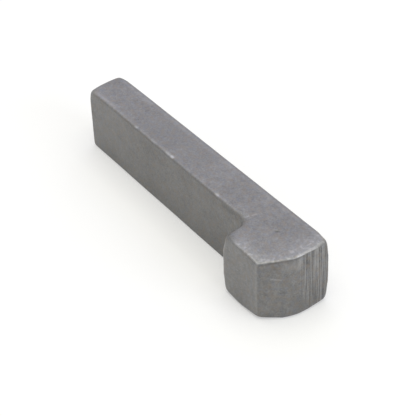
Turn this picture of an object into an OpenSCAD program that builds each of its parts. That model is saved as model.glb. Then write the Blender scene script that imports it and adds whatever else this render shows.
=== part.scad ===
// Gib head key: a one-piece taper key for locking a hub to a shaft.
// The key lies on one side cheek. X runs from the head to the tip, Y from the seat face to the nose,
// Z across the width. The origin is on the seat face, below the shoulder, at mid width.

/* [Shank] */
// Width of the key, from cheek to cheek
key_width = 18; // [10:0.5:40]
// Height of the shank where it meets the head
shank_height = 11; // [7:0.5:13.5]
// Length of the shank, from the shoulder to the tip
shank_length = 70; // [40:1:250]
// Length in which the shank loses 1 mm of height (100 is a taper of 1 in 100)
taper_run = 100; // [40:1:200]
// Radius of the two upright corners at the tip
tip_radius = 1.4; // [0.8:0.1:3]

/* [Head] */
// Height of the head above the seat face
head_height = 18; // [15:0.5:40]
// Length of the head, from the shoulder to the end face
head_length = 18; // [10:0.1:40]
// Length that the slope takes off the top of the head
slope_length = 4.4; // [2:0.1:8]
// Height that the slope takes off the end face
slope_height = 7.3; // [3:0.1:12]
// Fillet between the shank and the shoulder
neck_radius = 2; // [1:0.1:4]
// Radius of the lip, where the shoulder meets the top of the head
lip_radius = 1; // [0.8:0.1:2.5]
// Radius of the brow, where the top of the head meets the slope
brow_radius = 0.8; // [0.8:0.1:3]
// Radius of the blend from the slope into the end face
blend_radius = 8; // [1:0.1:12]
// Radius of the heel, where the end face meets the seat face
heel_radius = 1.2; // [0.8:0.1:3]

/* [Edges] */
// Radius along the edges of both cheeks
edge_radius = 0.6; // [0.2:0.05:0.8]
// How far the heel and lip corners are rolled in at both cheeks
head_roll = 1.3; // [0.6:0.1:2]
// How far the brow corner is rolled in at the lower cheek
brow_roll = 1; // [0.6:0.1:1.6]
// How far the tip corners are rolled in at the upper cheek
tip_roll = 1.3; // [0.6:0.1:2]
// How far the tip corners are rolled in at the lower cheek
tip_roll_lower = 0.8; // [0.6:0.1:2]
// Length of a roll down its upright corner, for each mm that it is rolled in
roll_stretch = 3.2; // [2:0.1:4]

/* [Hidden] */
$fn = 96;
steel = [0.53, 0.53, 0.54];

// Angles at which the roundings leave the flat faces beside them: upright corners, cheek edges, rolls
corner_lead = 4;
edge_lead = 8;
roll_lead = 4;
// How much wider the cheek edge is rounded in the neck than along the sides
neck_ease = 0.15;
// How far past the neck's arc, at each end, its edge rounding carries on
neck_sweep = 35;
// How far a cutter stands out of the solid that it trims
cutter_margin = 0.5;
// Largest share of a side that the rounding at one of its ends may take
side_share = 0.45;

tip_height = shank_height - shank_length / taper_run;

// Corners of the side outline, anticlockwise: place, radius, roll at the upper and at the lower cheek
CORNERS = [
    [[-head_length, 0], heel_radius, head_roll, head_roll],
    [[shank_length, 0], tip_radius, tip_roll, tip_roll_lower],
    [[shank_length, tip_height], tip_radius, tip_roll, tip_roll_lower],
    [[0, shank_height], neck_radius, 0, 0],
    [[0, head_height], lip_radius, head_roll, head_roll],
    [[slope_length - head_length, head_height], brow_radius, 0, brow_roll],
    [[-head_length, head_height - slope_height], blend_radius, 0, 0]
];
last = len(CORNERS) - 1;

function corner(i) = CORNERS[(i + len(CORNERS)) % len(CORNERS)];
function place(i) = corner(i)[0];
function side_length(i) = norm(place(i + 1) - place(i));
function heading(i) = let (run = place(i + 1) - place(i)) atan2(run.y, run.x);
function unit(angle) = [cos(angle), sin(angle)];

// Turn of the outline at a corner, positive where the corner stands out and negative in the neck
function turn(i) = let (t = heading(i) - heading(i - 1)) t - 360 * round(t / 360);
function stands_out(i) = turn(i) > 0;

// Distance of a corner's arc centre from both its sides, limited so that the arc fits on them
function half_turn_tan(i) = tan(abs(turn(i)) / 2);
function shorter_side(i) = min(side_length(i - 1), side_length(i));
function radius(i) = min(corner(i)[1], side_share * shorter_side(i) / half_turn_tan(i));
function arc_radius(i) = radius(i) / cos(corner_lead);

// Feet of the arc centre on the side before the corner and on the side after it
function foot_before(i) = place(i) - radius(i) * half_turn_tan(i) * unit(heading(i - 1));
function foot_after(i) = place(i) + radius(i) * half_turn_tan(i) * unit(heading(i));
function arc_centre(i) = foot_before(i) + radius(i) * unit(heading(i - 1) + sign(turn(i)) * 90);

// Direction that points straight out of a corner, and the outermost point of its arc
function outward(i) = heading(i - 1) + turn(i) / 2 - 90;
function arc_peak(i) = arc_centre(i) + arc_radius(i) * unit(outward(i));

// Depth of an edge rounding's arc centre below the two faces
function edge_depth(size) = size / (1 - tan(edge_lead));

// How far an edge cut runs out past a corner, so that it leaves the side that follows
function run_out(i) = cutter_margin + max(0, edge_depth(edge_radius) / tan(turn(i)));

// How far a corner is rolled in at a cheek
function roll(i, cheek) = corner(i)[cheek == "upper" ? 2 : 3];

// Every cut in the order in which it is made: cheek, kind and corner
CUTS = [
    for (cheek = ["upper", "lower"]) each [
        for (i = [0:last]) [cheek, "side", i],
        for (i = [0:last]) if (!stands_out(i)) [cheek, "neck", i],
        for (i = [0:last]) if (roll(i, cheek) > 0) [cheek, "roll", i]
    ]
];

// The sliver between a sharp corner and its arc, carried a little past the corner
module corner_sliver(i) {
    reach = 1 + cutter_margin / radius(i);
    sharp = [arc_centre(i), foot_before(i), place(i), foot_after(i)];
    translate(arc_centre(i))
        difference() {
            polygon([for (p = sharp) reach * (p - arc_centre(i))]);
            circle(r = arc_radius(i));
        }
}

// Side outline of the key: the neck is bridged and then hollowed, the other corners are trimmed
module side_outline() {
    difference() {
        polygon([for (i = [0:last], p = stands_out(i) ? [place(i)] : [foot_before(i), foot_after(i)]) p]);
        for (i = [0:last])
            if (stands_out(i)) corner_sliver(i);
            else translate(arc_centre(i)) circle(r = arc_radius(i));
    }
}

// Section of the cut that rounds a cheek edge: the edge at the origin, the solid below and to the left
module edge_section(size) {
    depth = edge_depth(size);
    translate([-depth, -depth])
        difference() {
            square(depth + cutter_margin);
            circle(r = depth / cos(edge_lead));
        }
}

// Edge cut along the side that follows a corner. It stops at the neck and runs out past the others.
module side_cut(i) {
    from = stands_out(i) ? place(i) - run_out(i) * unit(heading(i)) : foot_after(i);
    to = stands_out(i + 1) ? place(i + 1) + run_out(i + 1) * unit(heading(i)) : foot_before(i + 1);
    translate(to)
        rotate([90, 0, heading(i) - 90])
            linear_extrude(norm(to - from)) edge_section(edge_radius);
}

// Edge cut round the neck, a little wider than the side cuts that end in it
module neck_cut(i) {
    translate(arc_centre(i))
        rotate(heading(i) + 90 - neck_sweep)
            rotate_extrude(angle = abs(turn(i)) + 2 * neck_sweep)
                translate([arc_radius(i), 0])
                    mirror([1, 0]) edge_section(edge_radius + neck_ease);
}

// Cut that rolls an upright corner in towards the cheek: a shallow arc that starts down the corner
module roll_cut(i, depth) {
    drop = roll_stretch * depth;
    roll_radius = (depth * depth + drop * drop) / (2 * (depth * cos(roll_lead) - drop * sin(roll_lead)));
    axis = [0, -drop] - roll_radius * unit(roll_lead);
    half_width = drop + radius(i);
    translate(arc_peak(i))
        rotate([90, 0, outward(i)])
            linear_extrude(2 * half_width, center = true)
                difference() {
                    translate([-depth - cutter_margin, axis.y])
                        square([depth + 2 * cutter_margin, cutter_margin - axis.y]);
                    translate(axis) circle(r = roll_radius);
                }
}

// One cut, made at the upper cheek and mirrored for the lower one
module cut(cheek, kind, i) {
    mirror([0, 0, cheek == "lower" ? 1 : 0])
        translate([0, 0, key_width / 2])
            if (kind == "side") side_cut(i);
            else if (kind == "neck") neck_cut(i);
            else roll_cut(i, roll(i, cheek));
}

// The key after its first cuts. Each cut trims what the ones before it left, so that they meet in a mitre.
module trimmed(cuts) {
    if (cuts == 0) linear_extrude(key_width, center = true) side_outline();
    else difference() {
        trimmed(cuts - 1);
        cut(CUTS[cuts - 1][0], CUTS[cuts - 1][1], CUTS[cuts - 1][2]);
    }
}

module gib_head_key() {
    color(steel) trimmed(len(CUTS));
}

gib_head_key();
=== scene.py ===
"""A gib head key of dull grey steel, lying on one cheek on a white floor.

The key is modelled as by hand: the head, the shank and the neck's fillet are shaped blocks, which are
skinned over as one piece, worn soft at the corners, and marked by the shear that cut the end face.
"""

import math
import random

import bmesh
import bpy
import numpy as np
from mathutils import Euler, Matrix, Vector


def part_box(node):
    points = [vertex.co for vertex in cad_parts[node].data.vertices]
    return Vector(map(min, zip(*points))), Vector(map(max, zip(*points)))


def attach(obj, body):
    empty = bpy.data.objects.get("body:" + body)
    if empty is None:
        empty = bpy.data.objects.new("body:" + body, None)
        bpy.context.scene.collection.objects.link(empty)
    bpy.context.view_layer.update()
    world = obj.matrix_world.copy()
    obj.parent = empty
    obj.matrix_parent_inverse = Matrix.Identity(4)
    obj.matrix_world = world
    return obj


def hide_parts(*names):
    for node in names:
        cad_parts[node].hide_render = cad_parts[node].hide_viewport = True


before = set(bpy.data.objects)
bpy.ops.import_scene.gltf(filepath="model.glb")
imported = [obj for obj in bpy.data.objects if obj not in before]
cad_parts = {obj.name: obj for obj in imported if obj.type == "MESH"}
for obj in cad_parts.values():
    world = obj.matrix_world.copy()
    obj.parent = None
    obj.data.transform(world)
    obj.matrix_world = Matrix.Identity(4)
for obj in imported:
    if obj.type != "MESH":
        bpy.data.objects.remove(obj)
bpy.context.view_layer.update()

MM = 0.001
UP, DOWN = 1, -1

# How close two places have to be to count as one, and the least amount that a vertex is given
SAME_PLACE = 0.01 * MM
LEAST_AMOUNT = 0.01

# The key's faces, from the frame: X from the end face to the tip, Y from the seat face to the nose
LOW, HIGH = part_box("gib_head_key")
END_X, TIP_X = LOW.x, HIGH.x
SEAT_Y, NOSE_Y = LOW.y, HIGH.y
CHEEK_Z = HIGH.z
SHOULDER_X = 0.0

# Shank
SHANK_HEIGHT = 11 * MM
TAPER = 1 / 100
TIP_RADIUS = 0.9 * MM
SHANK_ROOT = -12 * MM

# Head
SLOPE_LENGTH = 4.4 * MM
SLOPE_HEIGHT = 7.3 * MM
SLOPE_TURN = math.atan2(SLOPE_LENGTH, SLOPE_HEIGHT)
HEEL_RADIUS = 0.8 * MM
LIP_RADIUS = 0.7 * MM
BROW_RADIUS = 0.6 * MM
BROW_RUN = BROW_RADIUS * math.tan(math.pi / 4 - SLOPE_TURN / 2)
BLEND_RADIUS = 8 * MM
BLEND_RUN = BLEND_RADIUS * math.tan(SLOPE_TURN / 2)
BLEND_SAG = BLEND_RADIUS * (1 / math.cos(SLOPE_TURN / 2) - 1)
NECK_WEDGE = 1.7 * MM
NECK_RISE = 2 * MM
NECK_SHADE = 9 * MM
BROW_INSET = 0.5 * MM

# Corners of the side outline, and points between them
HEEL = (END_X, SEAT_Y)
TIP_SEAT = (TIP_X, SEAT_Y)
TIP_TAPER = (TIP_X, SHANK_HEIGHT - TAPER * TIP_X)
TIP_MIDDLE = (TIP_X, SHANK_HEIGHT / 2)
NECK = (SHOULDER_X, SHANK_HEIGHT)
NECK_FAR = (SHOULDER_X + NECK_SHADE, SHANK_HEIGHT - TAPER * NECK_SHADE)
SHOULDER = (SHOULDER_X, SHANK_HEIGHT + NECK_RISE)
LIP = (SHOULDER_X, NOSE_Y)
BROW = (END_X + SLOPE_LENGTH, NOSE_Y)
NOSE_MIDDLE = ((SHOULDER_X + BROW[0]) / 2, NOSE_Y)
BROW_EDGE = (BROW[0] + BROW_INSET, NOSE_Y)
BLEND = (END_X, NOSE_Y - SLOPE_HEIGHT)
SLOPE_FOOT = (BLEND[0] + BLEND_RUN * math.sin(SLOPE_TURN), BLEND[1] + BLEND_RUN * math.cos(SLOPE_TURN))
BLEND_MIDDLE = (
    BLEND[0] + BLEND_SAG * math.cos(SLOPE_TURN / 2),
    BLEND[1] - BLEND_SAG * math.sin(SLOPE_TURN / 2),
)
END_TOP = (BLEND[0], BLEND[1] - BLEND_RUN)
FRONT = (BROW, SLOPE_FOOT, BLEND_MIDDLE, END_TOP, HEEL)

# Lines on the top a little inside its rims
TAPER_INSET = 0.45 * MM
BACK_INSET = 1.1 * MM
INSIDE_TAPER = ((TIP_X, TIP_TAPER[1] - TAPER_INSET), (NECK[0], NECK[1] - TAPER_INSET))
INSIDE_TIP = ((TIP_X - 2.5 * MM, 9.5 * MM), (TIP_X - 12 * MM, 9.7 * MM))
INSIDE_BACK = ((END_X + 1.5 * MM, SEAT_Y + BACK_INSET), (TIP_X - 3 * MM, SEAT_Y + BACK_INSET))
INSIDE_END = (
    (END_X + 0.55 * MM, 9.4 * MM),
    (END_X + 0.5 * MM, END_TOP[1]),
    (END_X + 0.6 * MM, 4.3 * MM),
    (END_X + 0.9 * MM, 2.6 * MM),
    (END_X + 1.2 * MM, 1.5 * MM),
)

# A darker band along the middle of the top of the shank, and how far below the top some marks lie
TOP_DARK_BAND = ((44 * MM, 6 * MM), (28 * MM, 5 * MM))
LOW_DROP = 14.2 * MM
NECK_DROP = 1.2 * MM
END_DROP = 0.1 * MM

# A pale band below the front rim, and a pale scuff across it
PALE_DROP = 2.4 * MM
PALE_SCUFF = [((-17.75 * MM, 8.7 * MM, 7.7 * MM), (-17.7 * MM, 9.4 * MM, 5.4 * MM))]

# Edges, the skin over all, and the neck's fillet
RIM_WIDTH = 0.3 * MM
RIM_SEGMENTS = 2
CORNER_SEGMENTS = 5
BROW_SEGMENTS = 3
BLEND_SEGMENTS = 6
SKIN_STEP = 0.255 * MM
NECK_REACH = 3.6 * MM
NECK_PASSES = 50

# Wear: from a corner, to a corner, at which cheek, reach in mm and passes
WEAR = (
    (TIP_SEAT, TIP_TAPER, UP, 3.0, 30),
    (TIP_SEAT, TIP_SEAT, UP, 4.0, 30),
    (TIP_TAPER, TIP_MIDDLE, UP, 3.0, 15),
    (TIP_TAPER, TIP_TAPER, UP, 4.0, 40),
    (TIP_SEAT, TIP_SEAT, DOWN, 2.5, 10),
    (TIP_TAPER, TIP_TAPER, DOWN, 2.5, 10),
    (NECK, TIP_TAPER, UP, 1.8, 7),
    (NECK, LIP, UP, 5.2, 110),
    (HEEL, HEEL, UP, 4.5, 80),
    (HEEL, HEEL, DOWN, 6.0, 100),
    (LIP, LIP, UP, 4.5, 60),
    (LIP, LIP, DOWN, 5.5, 80),
    (BROW, BROW, DOWN, 6.0, 100),
    (LIP, BROW, DOWN, 2.6, 26),
    (BROW, BLEND, DOWN, 2.2, 14),
    (BLEND, HEEL, DOWN, 2.8, 32),
)

# Leaning faces: how far the tip's face leans back at the lower cheek and the end face at the upper one
TIP_LEAN = 0.5 * MM
TIP_LEAN_REACH = 5 * MM
END_LEAN = 0.3 * MM
END_LEAN_REACH = 2.5 * MM
LEAN_FOOT = 0.7 * MM

# Where the top falls off towards a corner: depth and reach in mm
FALLS = ((BROW, 0.7, 3.3), (LIP, 0.5, 3.0), (TIP_TAPER, 0.85, 4.0))
FALL_FOOT = 2 * MM

# Unevenness of the faces: at a level of 1 they only sink, so that no lump stands out of the key's box
SWELL_SIZE = 9 * MM
SWELL_HEIGHT = 0.05 * MM
SWELL_LEVEL = 1

# Burr along the head's upper front rim, and the groove below it, both of one width in mm
BURR_HEIGHT = 0.05 * MM
BURR_WIDTH = 0.25
GROOVE_DEPTH = 0.06 * MM
GROOVE_DROP = 0.45 * MM


def along(corners, drop=0.0):
    """Straight lines along a row of corners, some way below the upper cheek."""
    places = [(*corner, CHEEK_Z - drop) for corner in corners]
    return list(zip(places, places[1:]))


def upright(corner):
    """The line from cheek to cheek at a corner."""
    return [((*corner, -CHEEK_Z), (*corner, CHEEK_Z))]


# Highlights painted along rims and upright edges over rubbed wear, light painted on the lower slope, and
# pale patches partly painted light: their lines, brightness and width in mm
HIGHLIGHTS_AND_RUBBING = (
    (along((TIP_SEAT, TIP_TAPER)), 0.6, 0.6),
    (along(INSIDE_TAPER), 0.22, 0.5),
    (along(INSIDE_TIP), 0.5, 0.7),
    (along((LIP, BROW)), 0.5, 0.45),
    (along(INSIDE_BACK), 0.25, 0.5),
    (along((BROW, SLOPE_FOOT, BLEND_MIDDLE)), 0.3, 0.3),
    (along(INSIDE_END, END_DROP), 0.9, 0.3),
    (along((HEEL, TIP_SEAT, TIP_TAPER), 2 * CHEEK_Z), 0.4, 0.4),
    # Light painted over the lower part of the slope
    (along((BROW, SLOPE_FOOT), LOW_DROP), 0.15, 3.0),
    # A pale band below the front rim, partly painted light
    (along((SLOPE_FOOT, BLEND_MIDDLE), PALE_DROP), 0.45, 1.3),
    (PALE_SCUFF, 0.65, 0.75),
    # Highlights painted along the upright edges, the last a little inside the brow's edge
    (upright(HEEL), 0.2, 0.5),
    (upright(TIP_SEAT), 0.3, 0.5),
    (upright(TIP_TAPER), 0.3, 0.5),
    (upright(LIP), 0.9, 0.8),
    (upright(BROW_EDGE), 0.4, 0.4),
)

# Shade painted under the rims, partly grime there, and painted shade in the neck, on the rolled shoulder,
# along the far rim, beside the brow and over the lower rims and low parts of the faces, and a darker band
# on the top: its lines, darkness and width in mm
GRIME_AND_PAINTED_SHADE = (
    # Shade painted under the upper rims, partly grime
    (along((TIP_TAPER, NECK), GROOVE_DROP), 0.35, 0.3),
    (along((LIP, BROW), GROOVE_DROP), 0.6, 0.3),
    (along((BROW, SLOPE_FOOT), GROOVE_DROP), 0.7, 0.3),
    (along((SLOPE_FOOT, BLEND_MIDDLE, END_TOP, HEEL), GROOVE_DROP), 1.0, 0.3),
    # Shade painted along the far upper rim
    (along((HEEL, TIP_SEAT)), 0.45, 0.3),
    # Shade painted over the rolled shoulder and in the neck
    (along((SHOULDER, LIP)), 0.4, 2.2),
    (along((NECK, NECK_FAR), NECK_DROP), 0.5, 1.0),
    # Shade painted over the lower rims and the low parts of the faces
    (along((LIP, *FRONT), 2 * CHEEK_Z), 0.5, 0.5),
    (along((NECK, TIP_TAPER), 2 * CHEEK_Z), 0.45, 0.9),
    (along((TIP_MIDDLE, NECK), 2 * CHEEK_Z), 0.14, 8.0),
    (along((LIP, BROW), 2 * CHEEK_Z), 0.15, 4.0),
    (along((END_TOP, HEEL), LOW_DROP), 0.22, 3.0),
    (along(TOP_DARK_BAND), 0.2, 5.0),
    # Shade painted beside the brow's upright edge
    (upright(BROW), 0.4, 0.4),
)

# Scuffs on the top beside the front rim, with light painted over them too: their lines, strength and reach
# in mm; and light painted on the nose
SCUFFS_AND_LIGHT = ((along((NOSE_MIDDLE, *FRONT)), 1.0, 2.6), (along((END_TOP, HEEL)), 1.3, 3.5))
NOSE_PAINTED_LIGHT = 0.35
SCUFF_AND_LIGHT_FOOT, SCUFF_AND_LIGHT_FULL = 0.5 * MM, 0.2 * MM

# Score marks that the shear left down the end face: the ranges of their shifts, widths in mm and strengths
SCORES = 16
SCORE_PITCH = 0.66 * MM
SCORE_SHIFTS = (0.2, 1.2)
SCORE_WIDTHS = (0.16, 0.26)
SCORE_STRENGTHS = (0.4, 0.85)
SCORE_DEPTH = 0.07 * MM
SCORE_SEED = 4

# Where the end face is scored: how deep its skin is, where the marks end, and how they fade
END_SKIN, END_SKIN_FULL = 0.6 * MM, 0.4 * MM
SCORE_FOOT = -17 * MM
SCORE_SLANT = 1.4
SCORE_FADE = 4 * MM
SCORE_EDGE = 9.5 * MM
SCORE_FULL = 7 * MM

# Nicks in the upper rim of the tapered side: place along the shank and length in mm, and brightness of the
# highlight painted in each
NICKS = ((47.2, 0.6, 1.4), (39.2, 1.4, 0.9), (32.8, 1.2, 1.2), (31.2, 0.6, 2.6), (12.0, 0.7, 1.8))
NICK_WIDTH = 0.4 * MM
NICK_DEPTH = 0.12 * MM

# Scratches in the slope and beside the neck: start and end, in mm; and a pit in the top of the head
SCRATCHES = (
    ((-15.2, 15.3, 3.6), (-16.4, 13.3, 3.0)),
    ((1.3, 10.4, 9.0), (1.1, 9.4, 9.0)),
    ((0.6, 8.5, 9.0), (0.5, 7.6, 9.0)),
)
SCRATCH_WIDTH = 0.22 * MM
SCRATCH_DEPTH = 0.05 * MM
SCRATCH_SHINE = 0.8
PIT = (-7.6 * MM, 7.6 * MM, CHEEK_Z)
PIT_WIDTH = 0.4 * MM
PIT_DEPTH = 0.15 * MM

# Colours of the steel; the dark one also paints shade, and the pale one also paints highlights and light
STEEL_DARK = (0.104, 0.103, 0.101, 1)
STEEL_LIGHT = (0.276, 0.274, 0.268, 1)
STEEL_WARM = (0.216, 0.184, 0.15, 1)
STEEL_BLUED = (0.17, 0.187, 0.228, 1)
STEEL_GRIME_AND_SHADE = (0.05, 0.05, 0.046, 1)
STEEL_RUB_AND_LIGHT = (0.45, 0.45, 0.45, 1)

# Noise in the steel: size of its spots in mm, and detail
GRAIN = (0.4, 3)
MOTTLE = (1.4, 4)
CLOUD = (9, 2)
STREAK = (0.36, 3)
WARM_SPOTS = (1.3, 3)
BLUED_SPOTS = (0.9, 3)
SCUFF_AND_LIGHT_SPOTS = (1.0, 2)

# The middle of each noise, how much it changes the tone, and how streaks run where the face is scored
MIDDLE = 0.5
GRAIN_TONE, MOTTLE_TONE, CLOUD_TONE = 1.0, 0.8, 0.5
STREAK_TONE, STREAK_LOSS = 1.15, 0.26
STREAK_RISE = (0.44, 0.66)
STREAK_RUN = (0, 1, 0.02)

# Shares of the other colours, and the noise or amount at which each starts and is full
WARM_SHARE, WARM_RISE = 0.5, (0.4, 0.7)
BLUED_SHARE, BLUED_RISE = 0.36, (0.45, 0.7)
GRIME_AND_SHADE_SHARE, GRIME_AND_SHADE_RISE = 0.75, (0.3, 0.55)
RUB_AND_HIGHLIGHT_SHARE, RUB_AND_HIGHLIGHT_LEAST = 0.5, 0.3
SCUFF_AND_LIGHT_SHARE, SCUFF_AND_LIGHT_RISE = 0.4, (0.1, 0.7)
SCUFF_AND_LIGHT_LEAST, SCUFF_AND_LIGHT_SPOT_SHARE, SCUFF_AND_LIGHT_SPOT_RISE = 0.4, 0.7, (0.45, 0.7)

# Surface of the steel
METALLIC = 0.8
ROUGHNESS = 0.42
ROUGHNESS_SPREAD = 0.12
RUBBED_POLISH = 0.08
BUMP_MOTTLE = 0.6
BUMP_STRENGTH = 0.25
BUMP_HEIGHT = 0.05 * MM

# White paper under the key, lifted more from near to far in metres, and the world's light
FLOOR_SIZE = 6
PAPER = (0.7, 0.7, 0.7, 1)
PAPER_LIFT = (0.32, 0.32, 0.32, 1)
PAPER_FAR_LIFT = (0.65, 0.65, 0.65, 1)
PAPER_NEAR, PAPER_FAR = 0.25, 0.8
AMBIENT = 0.6
SEEN_RAYS = ("Is Camera Ray", "Is Glossy Ray", "Is Transmission Ray")

# Lamps: name, place and size in metres, power in watts and colour
LAMPS = (
    ("overhead", (0.0, 0.0, 0.9), 0.8, 3.0, (1.02, 1.0, 0.82)),
    ("behind", (0.64, -0.45, 0.62), 0.8, 0.75, (0.85, 0.87, 1.4)),
    ("above_tip", (0.64, 0.15, 0.75), 0.6, 0.21, (1.0, 0.95, 1.2)),
    ("beside_head", (-0.9, -0.2, 0.35), 0.6, 3.25, (0.96, 1.0, 1.12)),
)

# Camera
CAMERA_PLACE = Vector((-218.47, 175.05, 229.69)) * MM
CAMERA_AIM = Vector((18.47, 8.69, 0)) * MM
CAMERA_ROLL = math.radians(-1.54)
CAMERA_LENS = 129.8
CAMERA_SENSOR = 36


class Editing:
    """Edit mode on one piece, with nothing selected at first."""

    def __init__(self, piece):
        self.piece = piece

    def __enter__(self):
        bpy.context.view_layer.objects.active = self.piece
        bpy.ops.object.mode_set(mode="EDIT")
        bpy.ops.mesh.select_all(action="DESELECT")
        return bmesh.from_edit_mesh(self.piece.data)

    def __exit__(self, *problem):
        bpy.ops.object.mode_set(mode="OBJECT")


def pick_vertices(piece, shape, wanted):
    """Selects the vertices whose place passes the test, and what lies between them."""
    bpy.ops.mesh.select_mode(type="VERT")
    for vertex in shape.verts:
        vertex.select = wanted(vertex.co)
    shape.select_flush_mode()
    bmesh.update_edit_mesh(piece.data)


def pick_edges(piece, shape, wanted):
    """Selects the edges whose two ends pass the test."""
    bpy.ops.mesh.select_mode(type="EDGE")
    for edge in shape.edges:
        edge.select = all(wanted(vertex.co) for vertex in edge.verts)
    shape.select_flush_mode()
    bmesh.update_edit_mesh(piece.data)


def near(value, target):
    return abs(value - target) < SAME_PLACE


def block(name, low, high):
    """A rectangular block between two corners."""
    bpy.ops.object.select_all(action="DESELECT")
    low, high = Vector(low), Vector(high)
    bpy.ops.mesh.primitive_cube_add(size=1, location=(low + high) / 2)
    piece = bpy.context.object
    piece.name = name
    piece.scale = high - low
    bpy.ops.object.transform_apply(location=True, rotation=True, scale=True)
    return piece


def saw_off(piece, point, outward):
    """Cuts away all that lies outside a plane, and closes the cut."""
    with Editing(piece):
        bpy.ops.mesh.select_all(action="SELECT")
        bpy.ops.mesh.bisect(plane_co=point, plane_no=outward, use_fill=True, clear_outer=True)


def round_upright(piece, place, width, segments):
    """Rounds the upright edge at one place of the side outline."""
    with Editing(piece) as shape:
        pick_edges(piece, shape, lambda p: near(p.x, place[0]) and near(p.y, place[1]))
        bpy.ops.mesh.bevel(offset=width, segments=segments, affect="EDGES")


def round_rims(piece, width):
    """Rounds the edges of both cheeks."""
    with Editing(piece) as shape:
        pick_edges(piece, shape, lambda p: near(abs(p.z), CHEEK_Z))
        bpy.ops.mesh.bevel(offset=width, segments=RIM_SEGMENTS, affect="EDGES")


def make_shank():
    shank = block("shank", (SHANK_ROOT, SEAT_Y, -CHEEK_Z), (TIP_X, SHANK_HEIGHT, CHEEK_Z))
    for x in (SHANK_ROOT, TIP_X):
        with Editing(shank) as shape:
            pick_vertices(shank, shape, lambda p: near(p.x, x) and near(p.y, SHANK_HEIGHT))
            bpy.ops.transform.translate(value=(0, -TAPER * x, 0))
    for corner in (TIP_SEAT, TIP_TAPER):
        round_upright(shank, corner, TIP_RADIUS, CORNER_SEGMENTS)
    round_rims(shank, RIM_WIDTH)
    return shank


def make_head():
    head = block("head", (END_X, SEAT_Y, -CHEEK_Z), (SHOULDER_X, NOSE_Y, CHEEK_Z))
    saw_off(head, (*BROW, 0), (-math.cos(SLOPE_TURN), math.sin(SLOPE_TURN), 0))
    round_upright(head, HEEL, HEEL_RADIUS, CORNER_SEGMENTS)
    round_upright(head, LIP, LIP_RADIUS, CORNER_SEGMENTS)
    round_upright(head, BROW, BROW_RUN, BROW_SEGMENTS)
    round_upright(head, BLEND, BLEND_RUN, BLEND_SEGMENTS)
    round_rims(head, RIM_WIDTH)
    return head


def make_neck():
    """A wedge in the corner between the shank and the shoulder, which wear turns into a fillet."""
    low = (SHOULDER_X - NECK_WEDGE, SHANK_HEIGHT - NECK_WEDGE, -CHEEK_Z)
    high = (SHOULDER_X + NECK_WEDGE, SHANK_HEIGHT + NECK_WEDGE, CHEEK_Z)
    neck = block("neck", low, high)
    saw_off(neck, (SHOULDER_X + NECK_WEDGE, SHANK_HEIGHT, 0), (1, 1, 0))
    round_rims(neck, RIM_WIDTH)
    return neck


def skin_over(name, blocks):
    """Joins the blocks and gives them one continuous skin."""
    bpy.ops.object.select_all(action="DESELECT")
    for piece in blocks:
        piece.select_set(True)
    bpy.context.view_layer.objects.active = blocks[0]
    bpy.ops.object.join()
    piece = bpy.context.object
    piece.name = name
    skin = piece.modifiers.new("skin", "REMESH")
    skin.mode = "VOXEL"
    skin.voxel_size = SKIN_STEP
    bpy.ops.object.modifier_apply(modifier=skin.name)
    return piece


def skin_points(piece):
    """Places of the skin's vertices, one row each."""
    points = np.empty(3 * len(piece.data.vertices), np.float32)
    piece.data.vertices.foreach_get("co", points)
    return points.reshape(-1, 3)


def rise(value, low, high):
    """0 below low, 1 above high and a smooth step between them."""
    share = np.clip((value - low) / (high - low), 0, 1)
    return share * share * (3 - 2 * share)


def bell(distance, width):
    """1 at the middle, falling smoothly to 0 a few widths away."""
    return np.exp(-((distance / width) ** 2))


def distance_to_line(points, start, end):
    """Distance of each point from a straight line between two places."""
    start, end = np.array(start), np.array(end)
    run = end - start
    square = run @ run
    share = np.clip((points - start) @ run / square, 0, 1) if square else np.zeros(len(points))
    return np.linalg.norm(points - start - share[:, None] * run, axis=1)


def distance_to_lines(points, lines):
    """Distance of each point from the nearest of some lines."""
    return np.min([distance_to_line(points, *line) for line in lines], axis=0)


def mark(points, marks):
    """How much each point is marked by some lines, each with a strength and a width in mm."""
    amount = np.zeros(len(points))
    for lines, strength, width in marks:
        amount = np.maximum(amount, strength * bell(distance_to_lines(points, lines), width * MM))
    return amount


def weigh(piece, amount):
    """A vertex group that holds an amount from 0 to 1 at each vertex."""
    group = piece.vertex_groups.new(name="amount")
    for index in np.flatnonzero(amount > LEAST_AMOUNT):
        group.add([int(index)], float(amount[index]), "REPLACE")
    return group.name


def soften(piece, amount, passes):
    """Wears the skin down, by an amount from 0 to 1 at each of its vertices."""
    wear = piece.modifiers.new("wear", "SMOOTH")
    wear.factor = 1
    wear.iterations = passes
    wear.vertex_group = weigh(piece, amount)
    bpy.ops.object.modifier_apply(modifier=wear.name)
    piece.vertex_groups.clear()


def wear_along(piece, start, end, reach, passes):
    """Wears the skin down along a line, most at the line itself and less towards the reach."""
    distance = distance_to_line(skin_points(piece), start, end)
    soften(piece, np.clip(1 - distance / reach, 0, 1), passes)


def press(piece, amount, depth, direction="NORMAL"):
    """Presses the skin in, or back along an axis, by an amount from 0 to 1 at each of its vertices."""
    dent = piece.modifiers.new("dent", "DISPLACE")
    dent.direction = direction
    dent.strength = -depth
    dent.mid_level = 0
    dent.vertex_group = weigh(piece, amount)
    bpy.ops.object.modifier_apply(modifier=dent.name)
    piece.vertex_groups.clear()


def wear_down(key):
    """Rounds all edges a little, the neck into a fillet, and the corners and rims that wear has rounded."""
    soften(key, np.ones(len(key.data.vertices)), 1)
    wear_along(key, *upright(NECK)[0], NECK_REACH, NECK_PASSES)
    for start, end, side, reach, passes in WEAR:
        wear_along(key, (*start, side * CHEEK_Z), (*end, side * CHEEK_Z), reach * MM, passes)


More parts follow.
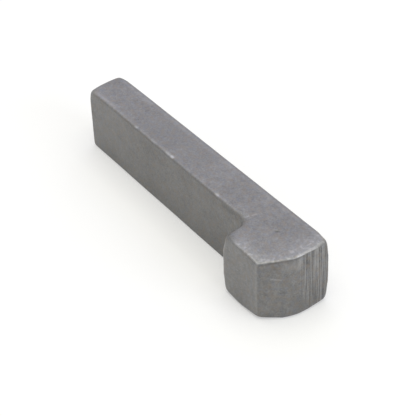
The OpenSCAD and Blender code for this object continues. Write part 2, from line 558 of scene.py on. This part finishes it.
def lean_faces(key):
    """Leans the tip's face back towards the lower cheek, and the end face towards the upper one."""
    points = skin_points(key)
    x, height = points[:, 0], points[:, 2] / CHEEK_Z
    at_tip = rise(x, TIP_X - TIP_LEAN_REACH, TIP_X - LEAN_FOOT)
    at_end = rise(-x, -END_X - END_LEAN_REACH, -END_X - LEAN_FOOT)
    press(key, at_tip * np.clip(0.5 - height / 2, 0, 1), TIP_LEAN, "X")
    press(key, at_end * np.clip(height, 0, 1), -END_LEAN, "X")


def let_top_fall(key):
    """Lets the top fall off towards some of its corners, whose rims stay crisp."""
    points = skin_points(key)
    fall = np.zeros(len(points))
    for corner, depth, reach in FALLS:
        distance = distance_to_line(points[:, :2], corner, corner)
        fall = np.maximum(fall, depth * np.exp(-distance / (reach * MM)))
    press(key, fall * rise(points[:, 2], FALL_FOOT, CHEEK_Z), MM, "Z")


def swell(piece):
    """Gives the faces the slight unevenness of forged steel."""
    lumps = bpy.data.textures.new("lumps", "CLOUDS")
    lumps.noise_scale = SWELL_SIZE
    uneven = piece.modifiers.new("uneven", "DISPLACE")
    uneven.texture = lumps
    uneven.texture_coords = "LOCAL"
    uneven.strength = SWELL_HEIGHT
    uneven.mid_level = SWELL_LEVEL
    bpy.ops.object.modifier_apply(modifier=uneven.name)


def raise_burr(key):
    """Raises a burr along the head's upper front rim, over a shallow groove."""
    points = skin_points(key)
    press(key, mark(points, [(along((LIP, *FRONT)), 1, BURR_WIDTH)]), -BURR_HEIGHT)
    press(key, mark(points, [(along((LIP, *FRONT), GROOVE_DROP), 1, BURR_WIDTH)]), GROOVE_DEPTH)


def nick_rim(key):
    """Knocks a few nicks into the upper rim of the tapered side, and returns the highlight painted in them.
    """
    points = skin_points(key)
    from_rim = bell(distance_to_lines(points, along(INSIDE_TAPER)), NICK_WIDTH)
    nicks = np.zeros(len(points))
    for place, length, brightness in NICKS:
        nicks += brightness * from_rim * bell(points[:, 0] - place * MM, length * MM)
    press(key, np.minimum(nicks, 1), NICK_DEPTH)
    return nicks


def scratch(key):
    """Scratches the slope and the neck, and returns how bright each point of the skin is for it."""
    lines = [(Vector(start) * MM, Vector(end) * MM) for start, end in SCRATCHES]
    scratches = bell(distance_to_lines(skin_points(key), lines), SCRATCH_WIDTH)
    press(key, scratches, SCRATCH_DEPTH)
    return scratches


def dent_top(key):
    """Dents a small pit into the top of the head, and returns the shade painted in it."""
    pit = bell(distance_to_line(skin_points(key), PIT, PIT), PIT_WIDTH)
    press(key, pit, PIT_DEPTH)
    return pit


def score_end_face(key):
    """Draws the shear's score marks down the end face, and returns where the face is scored."""
    points = skin_points(key)
    across, height = points[:, 1], points[:, 2]
    foot = SCORE_FOOT + SCORE_SLANT * across
    on_end = rise(-points[:, 0], -END_X - END_SKIN, -END_X - END_SKIN_FULL)
    scored = on_end * rise(height, foot, foot + SCORE_FADE) * rise(-across, -SCORE_EDGE, -SCORE_FULL)
    chance = random.Random(SCORE_SEED)
    grooves = np.zeros(len(points))
    for groove in range(SCORES):
        place = (groove + chance.uniform(*SCORE_SHIFTS)) * SCORE_PITCH
        width = chance.uniform(*SCORE_WIDTHS) * MM
        strength = chance.uniform(*SCORE_STRENGTHS)
        grooves = np.maximum(grooves, strength * bell(across - place, width))
    press(key, grooves * scored, SCORE_DEPTH)
    return scored


def scuff_and_light(points):
    """How much painted light each point gets on the nose, and how much scuffing and painted light it gets
    on the top beside the front rim.
    """
    on_top = rise(points[:, 2], CHEEK_Z - SCUFF_AND_LIGHT_FOOT, CHEEK_Z - SCUFF_AND_LIGHT_FULL)
    on_nose = rise(points[:, 1], NOSE_Y - SCUFF_AND_LIGHT_FOOT, NOSE_Y - SCUFF_AND_LIGHT_FULL)
    scuffs_and_light = NOSE_PAINTED_LIGHT * on_nose
    for lines, strength, reach in SCUFFS_AND_LIGHT:
        beside_rim = np.exp(-distance_to_lines(points, lines) / (reach * MM))
        scuffs_and_light = np.maximum(scuffs_and_light, strength * on_top * beside_rim)
    return scuffs_and_light


def keep_amount(piece, name, amount):
    """Keeps an amount at each vertex for the finish to read."""
    attribute = piece.data.attributes.new(name, "FLOAT", "POINT")
    attribute.data.foreach_set("value", amount.astype(np.float32))


def make_key():
    key = skin_over("key", [make_head(), make_shank(), make_neck()])
    wear_down(key)
    lean_faces(key)
    swell(key)
    points = skin_points(key)
    in_neck = bell(distance_to_lines(points, upright(NECK)), NECK_REACH)
    highlight_and_rub = mark(points, HIGHLIGHTS_AND_RUBBING) * (1 - in_neck)
    raise_burr(key)
    keep_amount(key, "grime_and_shade", np.maximum(mark(points, GRIME_AND_PAINTED_SHADE), dent_top(key)))
    keep_amount(key, "highlight_and_rub", np.maximum.reduce([highlight_and_rub, nick_rim(key), SCRATCH_SHINE * scratch(key)]))
    keep_amount(key, "scuffs_and_light", scuff_and_light(points))
    keep_amount(key, "score", score_end_face(key))
    let_top_fall(key)
    bpy.ops.object.shade_smooth()
    return key


class Value:
    """A socket in a material. Sums and products of values add Math nodes."""

    def __init__(self, tree, socket=None):
        self.tree = tree
        self.socket = socket

    def node(self, kind, settings, sockets, output=0):
        """Adds a node: its settings first, then the values or links of its sockets."""
        node = self.tree.nodes.new(kind)
        for name, setting in settings.items():
            setattr(node, name, setting)
        for name, value in sockets.items():
            if isinstance(value, Value):
                self.tree.links.new(value.socket, node.inputs[name])
            else:
                node.inputs[name].default_value = value
        return Value(self.tree, node.outputs[output] if node.outputs else None)

    def math(self, operation, first, second):
        return self.node("ShaderNodeMath", {"operation": operation}, {0: first, 1: second})

    def __add__(self, other):
        return self.math("ADD", self, other)

    def __radd__(self, other):
        return self.math("ADD", other, self)

    def __sub__(self, other):
        return self.math("SUBTRACT", self, other)

    def __mul__(self, other):
        return self.math("MULTIPLY", self, other)

    def __rmul__(self, other):
        return self.math("MULTIPLY", other, self)

    def rise(self, low, high):
        """0 below low, 1 above high and a smooth step between them."""
        smooth = {"interpolation_type": "SMOOTHSTEP"}
        return self.node("ShaderNodeMapRange", smooth, {"Value": self, "From Min": low, "From Max": high})

    def noise(self, size, detail):
        """Noise from 0 to 1 on this place, with spots of about that size in mm."""
        scale = 1 / (size * MM)
        return self.node("ShaderNodeTexNoise", {}, {"Vector": self, "Scale": scale, "Detail": detail})

    def mix(self, first, second, share):
        """A colour with a share of a second one."""
        return self.node("ShaderNodeMix", {"data_type": "RGBA"}, {0: share, 6: first, 7: second}, 2)

    def blend(self, other, share):
        """This colour with a share of another one."""
        return self.mix(self, other, share)


def new_finish(name):
    """A new material without nodes, and a start for them."""
    material = bpy.data.materials.new(name)
    material.use_nodes = True
    material.node_tree.nodes.clear()
    return material, Value(material.node_tree)


def steel_tone(place, grain, mottle, score):
    """Tone of the steel from dark to light, with pale streaks where it is scored."""
    down = place.node("ShaderNodeVectorMath", {"operation": "MULTIPLY"}, {0: place, 1: STREAK_RUN})
    streak = down.noise(*STREAK).rise(*STREAK_RISE)
    tone = MIDDLE + GRAIN_TONE * (grain - MIDDLE) + MOTTLE_TONE * (mottle - MIDDLE)
    tone = tone + CLOUD_TONE * (place.noise(*CLOUD) - MIDDLE)
    return tone + score * (STREAK_TONE * streak - STREAK_LOSS)


def steel_colour(place, tone):
    """Grey steel of that tone, with warm and blued spots."""
    colour = place.mix(STEEL_DARK, STEEL_LIGHT, tone)
    colour = colour.blend(STEEL_WARM, WARM_SHARE * place.noise(*WARM_SPOTS).rise(*WARM_RISE))
    return colour.blend(STEEL_BLUED, BLUED_SHARE * place.noise(*BLUED_SPOTS).rise(*BLUED_RISE))


def steel_finish():
    """Dull grey steel: mottled, with worn edges and highlights painted on them, shade painted under the
    rims and low down with some dirt under the rims, scuffing and painted light beside the front rim,
    painted light on the nose, and streaks where it was sheared.
    """
    material, start = new_finish("grey_steel")
    place = start.node("ShaderNodeTexCoord", {}, {}, "Object")
    highlight_and_rub, score, grime_and_shade, scuffs_and_light = [
        start.node("ShaderNodeAttribute", {"attribute_name": name}, {}, "Fac")
        for name in ("highlight_and_rub", "score", "grime_and_shade", "scuffs_and_light")
    ]
    grain = place.noise(*GRAIN)
    mottle = place.noise(*MOTTLE)
    rubbed_and_highlit = highlight_and_rub * (RUB_AND_HIGHLIGHT_LEAST + mottle)
    spots = place.noise(*SCUFF_AND_LIGHT_SPOTS).rise(*SCUFF_AND_LIGHT_SPOT_RISE)
    scuffed_and_lit = scuffs_and_light.rise(*SCUFF_AND_LIGHT_RISE) * (SCUFF_AND_LIGHT_LEAST + SCUFF_AND_LIGHT_SPOT_SHARE * spots)

    colour = steel_colour(place, steel_tone(place, grain, mottle, score))
    colour = colour.blend(STEEL_GRIME_AND_SHADE, GRIME_AND_SHADE_SHARE * grime_and_shade * mottle.rise(*GRIME_AND_SHADE_RISE))
    colour = colour.blend(STEEL_RUB_AND_LIGHT, RUB_AND_HIGHLIGHT_SHARE * rubbed_and_highlit + SCUFF_AND_LIGHT_SHARE * scuffed_and_lit)
    roughness = ROUGHNESS + ROUGHNESS_SPREAD * (mottle - MIDDLE) - RUBBED_POLISH * rubbed_and_highlit
    relief = {"Strength": BUMP_STRENGTH, "Distance": BUMP_HEIGHT, "Height": grain + BUMP_MOTTLE * mottle}
    bump = start.node("ShaderNodeBump", {}, relief)
    surface = {"Base Color": colour, "Roughness": roughness, "Metallic": METALLIC, "Normal": bump}
    shader = start.node("ShaderNodeBsdfPrincipled", {}, surface)
    start.node("ShaderNodeOutputMaterial", {}, {"Surface": shader})
    return material


def seen_directly(start):
    """1 for rays from the camera and for mirrored or transmitted ones, and 0 for scattered light."""
    rays = [start.node("ShaderNodeLightPath", {}, {}, name) for name in SEEN_RAYS]
    return start.math("MINIMUM", rays[0] + rays[1] + rays[2], 1.0)


def paper_finish():
    """White paper that keeps the key's shadow, lifted to plain white where it is seen."""
    material, start = new_finish("white_paper")
    paper = start.node("ShaderNodeBsdfDiffuse", {}, {"Color": PAPER})
    place = start.node("ShaderNodeTexCoord", {}, {}, "Object")
    distance = start.node("ShaderNodeVectorMath", {"operation": "LENGTH"}, {0: place}, "Value")
    colour = start.mix(PAPER_LIFT, PAPER_FAR_LIFT, distance.rise(PAPER_NEAR, PAPER_FAR))
    lift = start.node("ShaderNodeEmission", {}, {"Color": colour, "Strength": seen_directly(start)})
    both = start.node("ShaderNodeAddShader", {}, {0: paper, 1: lift})
    start.node("ShaderNodeOutputMaterial", {}, {"Surface": both})
    return material


def add_floor():
    bpy.ops.object.select_all(action="DESELECT")
    bpy.ops.mesh.primitive_plane_add(size=FLOOR_SIZE, location=(0, 0, LOW.z))
    floor = bpy.context.object
    floor.name = "floor"
    floor.data.materials.append(paper_finish())


def add_softbox(name, place, size, power, colour):
    """A square lamp, turned to the key."""
    lamp = bpy.data.lights.new(name, "AREA")
    lamp.shape = "SQUARE"
    lamp.size = size
    lamp.energy = power
    lamp.color = colour
    softbox = bpy.data.objects.new(name, lamp)
    softbox.location = place
    softbox.rotation_euler = (-Vector(place)).to_track_quat("-Z", "Y").to_euler()
    bpy.context.collection.objects.link(softbox)


def add_camera():
    lens = bpy.data.cameras.new("camera")
    lens.sensor_width = CAMERA_SENSOR
    lens.lens = CAMERA_LENS
    camera = bpy.data.objects.new("camera", lens)
    camera.location = CAMERA_PLACE
    aim = (CAMERA_AIM - CAMERA_PLACE).to_track_quat("-Z", "Y")
    camera.rotation_euler = (aim @ Euler((0, 0, CAMERA_ROLL)).to_quaternion()).to_euler()
    bpy.context.collection.objects.link(camera)
    bpy.context.scene.camera = camera


def set_world():
    """A world that is white where it is seen or mirrored, and dimmer where it only gives light."""
    world = bpy.data.worlds.new("studio")
    bpy.context.scene.world = world
    world.use_nodes = True
    world.node_tree.nodes.clear()
    start = Value(world.node_tree)
    strength = AMBIENT + (1 - AMBIENT) * seen_directly(start)
    sky = start.node("ShaderNodeBackground", {}, {"Color": (1, 1, 1, 1), "Strength": strength})
    start.node("ShaderNodeOutputWorld", {}, {"Surface": sky})


key = make_key()
key.data.materials.clear()
key.data.materials.append(steel_finish())
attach(key, "root")
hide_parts("gib_head_key")
add_floor()
add_camera()
set_world()
for lamp in LAMPS:
    add_softbox(*lamp)
bpy.context.scene.view_settings.view_transform = "Standard"
